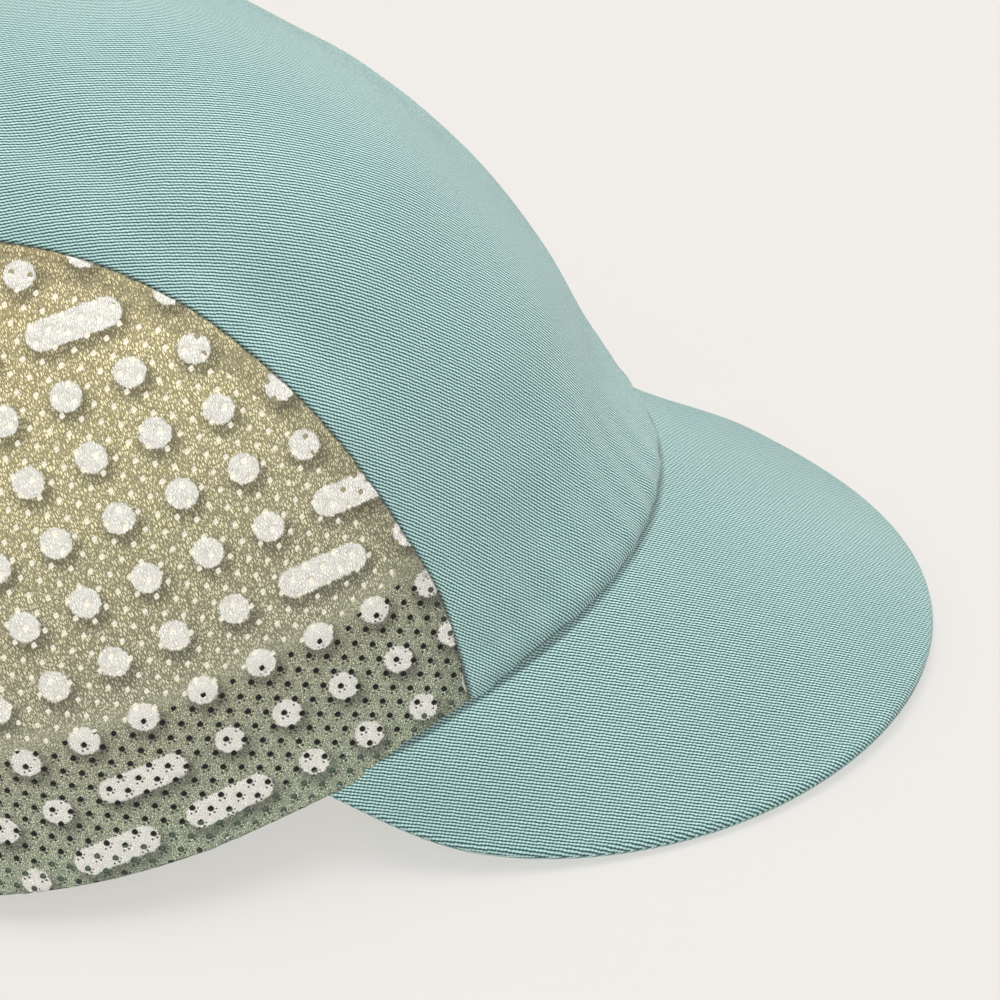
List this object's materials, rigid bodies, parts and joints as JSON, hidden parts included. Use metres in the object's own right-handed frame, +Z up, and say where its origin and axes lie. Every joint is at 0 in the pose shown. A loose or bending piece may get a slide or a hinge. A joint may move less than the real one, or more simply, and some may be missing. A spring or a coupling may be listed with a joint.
{
  "type": "cycling cap",
  "caption": "Soft three-panel cycling cap with a twill centre panel, printed eyelet-mesh sides, an inner sweatband and a short curved peak, resting on its rim.",
  "frame": {"origin": "on the floor, under the middle of the cap's bounding box, with the cap resting on its rim", "axes": "+Z up through the top of the crown, -Y towards the tip of the peak, -X towards the wearer's right side"},
  "size_m": [0.1668, 0.245, 0.115],
  "materials": {
    "crown_twill": "matte polyester-cotton twill with a fine diagonal rib",
    "peak_twill": "matte twill over a thin stiffener",
    "printed_mesh": "warp-knitted eyelet mesh, dyed olive to grey-green, with a printed pattern of pale spots",
    "pale_lining": "plain pale knit behind the mesh",
    "black_sweatband": "brushed black sweatband",
    "teal_tape": "woven tape inside the hem"
  },
  "bodies": {
    "root": {"centre_panel": "crown_twill", "side_panel_right": "printed_mesh", "side_panel_left": "printed_mesh", "side_lining_right": "pale_lining", "side_lining_left": "pale_lining", "sweatband": "black_sweatband", "hem_tape": "teal_tape", "peak": "peak_twill"}
  },
  "joints": []
}
